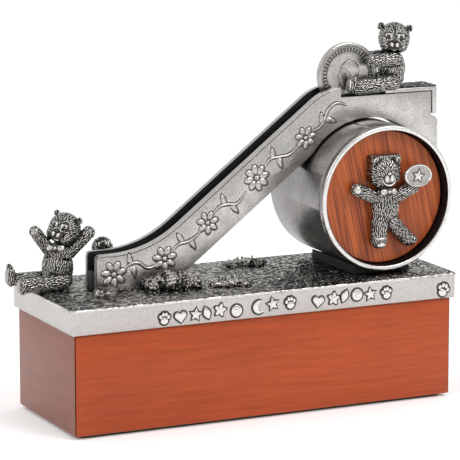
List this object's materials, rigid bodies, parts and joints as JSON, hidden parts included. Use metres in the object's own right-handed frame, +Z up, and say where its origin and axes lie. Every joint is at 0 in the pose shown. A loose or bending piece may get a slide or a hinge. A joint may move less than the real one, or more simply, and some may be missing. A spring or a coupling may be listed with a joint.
{
  "type": "mechanical bank",
  "caption": "Coin bank: a bear on a pusher releases a coin that rolls down a walled slide past a drum, through a slot into a wooden money box.",
  "frame": {"origin": "centre of the money box's resting face, on the felt", "axes": "+Z up, +X along the box towards the drum, -Y towards the front with the drum's wooden disc"},
  "size_m": [0.1655, 0.056, 0.1371],
  "materials": {
    "satin_pewter": "satin cast pewter",
    "darkened_pewter": "darkened cast pewter",
    "turf_pewter": "textured cast pewter, darkened",
    "blackened_pewter": "blackened pewter",
    "stained_wood": "satin orange-red stain",
    "plain_wood": "unfinished",
    "disc_wood": "satin orange-red stain",
    "felt_cloth": "felt",
    "black_rubber": "matte",
    "screw_steel": "bright",
    "coin_alloy": "worn satin"
  },
  "bodies": {
    "bank": {"front_panel": "stained_wood", "back_panel": "stained_wood", "left_end_panel": "stained_wood", "right_end_panel": "stained_wood", "bottom_board": "plain_wood", "top_board": "plain_wood", "felt_base": "felt_cloth", "deck_cap": "turf_pewter", "near_cheek": "satin_pewter", "far_cheek": "satin_pewter", "channel_rail": "blackened_pewter", "coin_stop": "blackened_pewter", "keeper_pin": "screw_steel", "drum_shell": "satin_pewter", "wood_disc": "disc_wood", "drum_back_plate": "satin_pewter", "drum_saddle": "blackened_pewter", "emblem_bear": "darkened_pewter", "emblem_coin_sign": "satin_pewter", "reclining_bear": "darkened_pewter", "flower_bush": "turf_pewter", "mouth_blooms": "turf_pewter", "front_leaf_clump": "turf_pewter", "back_leaf_clump": "turf_pewter", "rear_shrub": "turf_pewter", "bottom_screw_1": "screw_steel", "lid_screw_1": "screw_steel", "deck_screw_1": "screw_steel", "bottom_screw_2": "screw_steel", "lid_screw_2": "screw_steel", "deck_screw_2": "screw_steel", "bottom_screw_3": "screw_steel", "lid_screw_3": "screw_steel", "deck_screw_3": "screw_steel", "bottom_screw_4": "screw_steel", "lid_screw_4": "screw_steel", "deck_screw_4": "screw_steel", "drum_screw_1": "screw_steel", "emblem_pin_1": "screw_steel", "pin_washer_1": "screw_steel", "drum_screw_2": "screw_steel", "emblem_pin_2": "screw_steel", "pin_washer_2": "screw_steel"},
    "pusher": {"pusher_sled": "satin_pewter", "rider_bear": "darkened_pewter"},
    "coin": {"coin": "coin_alloy"},
    "stopper": {"rubber_stopper": "black_rubber"}
  },
  "joints": [
    {"name": "pusher_slide", "type": "slide", "parent": "bank", "child": "pusher", "axis": [1, 0, 0], "range_m": [0, 0.01]},
    {"name": "coin_roll", "type": "hinge", "parent": "bank", "child": "coin", "pos_m": [0.0452, 0, 0.07125], "axis": [0, -1, 0], "range_deg": [0, 37]},
    {"name": "stopper_pull", "type": "slide", "parent": "bank", "child": "stopper", "axis": [0, 0, -1], "range_m": [0, 0.012]}
  ]
}
